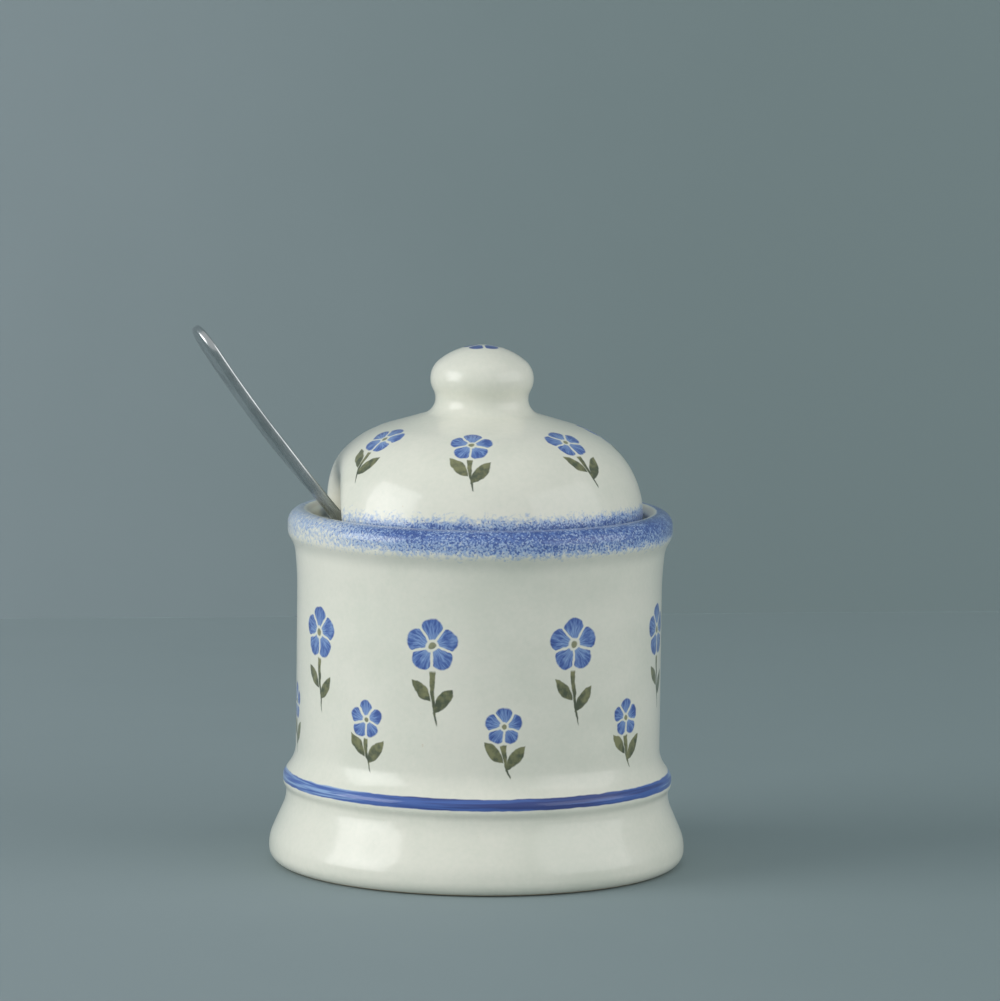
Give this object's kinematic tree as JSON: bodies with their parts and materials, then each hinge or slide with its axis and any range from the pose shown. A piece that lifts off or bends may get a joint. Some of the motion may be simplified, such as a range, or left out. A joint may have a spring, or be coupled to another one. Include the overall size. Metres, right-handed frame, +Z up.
{
  "type": "jam pot",
  "caption": "Covered earthenware jam pot with a spreading foot, a domed lid with a knob and a moulded spoon notch, and a steel jam spoon leaning out through the notch.",
  "frame": {"origin": "centre of the foot ring, on the surface that the pot stands on", "axes": "+Z up along the pot's turning axis; -X towards the lid's notch and the spoon's handle; +Y across"},
  "size_m": [0.1124, 0.0962, 0.1244],
  "materials": {
    "pot_glaze": "gloss cream glaze over sponged and brushed cobalt blue",
    "lid_glaze": "gloss cream glaze over sponged cobalt blue",
    "spoon_steel": "stainless steel, satin with fine scratches"
  },
  "bodies": {
    "pot": {"pot": "pot_glaze"},
    "lid": {"lid": "lid_glaze"},
    "spoon": {"spoon": "spoon_steel"}
  },
  "joints": [
    {"name": "lid_lift", "type": "slide", "parent": "pot", "child": "lid", "axis": [0, 0, 1], "range_m": [0, 0.12]},
    {"name": "spoon_draw", "type": "hinge", "parent": "pot", "child": "spoon", "pos_m": [0.22137, 0, 0.2886], "axis": [0, 1, 0], "range_deg": [0, 8]}
  ]
}
